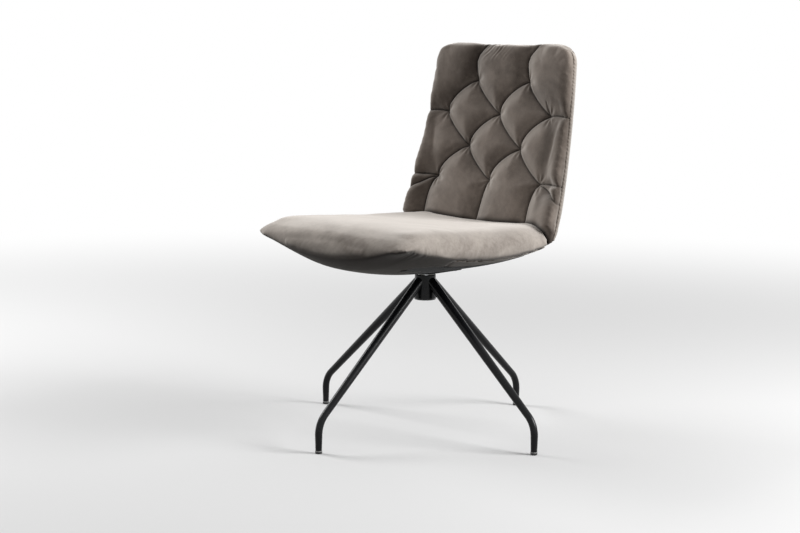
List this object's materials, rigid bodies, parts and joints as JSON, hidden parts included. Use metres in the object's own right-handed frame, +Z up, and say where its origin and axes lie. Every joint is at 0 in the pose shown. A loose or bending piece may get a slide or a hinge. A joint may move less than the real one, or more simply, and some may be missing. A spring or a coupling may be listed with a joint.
{
  "type": "upholstered swivel dining chair",
  "caption": "Armless upholstered swivel dining chair with a tufted velvet back on a splayed black tube base.",
  "frame": {"origin": "on the floor under the swivel axis", "axes": "+Z up; the seat faces -Y at rest; +X is to the right as seen from the front"},
  "size_m": [0.707, 0.707, 0.9174],
  "materials": {
    "black_frame": "satin",
    "plug_grey": "matte",
    "glide_black": "matte",
    "cap_black": "satin",
    "bearing_plastic": "matte",
    "zinc_steel": "satin",
    "plate_black": "matte",
    "plywood": "matte",
    "dust_cloth": "matte",
    "twine": "matte",
    "velvet": "matte"
  },
  "bodies": {
    "base": {"foot_glide_back": "glide_black", "foot_glide_front": "glide_black", "foot_glide_left": "glide_black", "foot_glide_right": "glide_black", "foot_plug_back": "plug_grey", "foot_plug_front": "plug_grey", "foot_plug_left": "plug_grey", "foot_plug_right": "plug_grey", "hub_cap": "cap_black", "hub_sleeve": "black_frame", "leg_back": "black_frame", "leg_front": "black_frame", "leg_left": "black_frame", "leg_right": "black_frame", "lower_bush": "bearing_plastic", "thrust_washer": "bearing_plastic", "upper_bush": "bearing_plastic"},
    "seat": {"back_board": "plywood", "back_border_left": "velvet", "back_border_right": "velvet", "back_pad": "velvet", "back_rear_panel": "velvet", "bracket_left": "plate_black", "bracket_right": "plate_black", "bracket_screws": "zinc_steel", "dust_cover": "dust_cloth", "mounting_block": "plywood", "plate_bolts": "zinc_steel", "retaining_bolt": "zinc_steel", "retaining_washer": "zinc_steel", "seat_board": "plywood", "seat_cushion": "velvet", "seat_under_pad": "velvet", "spindle": "zinc_steel", "swivel_plate": "plate_black", "tee_nuts": "zinc_steel", "tuft_twine": "twine"}
  },
  "joints": [
    {"name": "seat_swivel", "type": "hinge", "parent": "base", "child": "seat", "pos_m": [0, 0, 0.38], "axis": [0, 0, 1], "continuous": true}
  ]
}
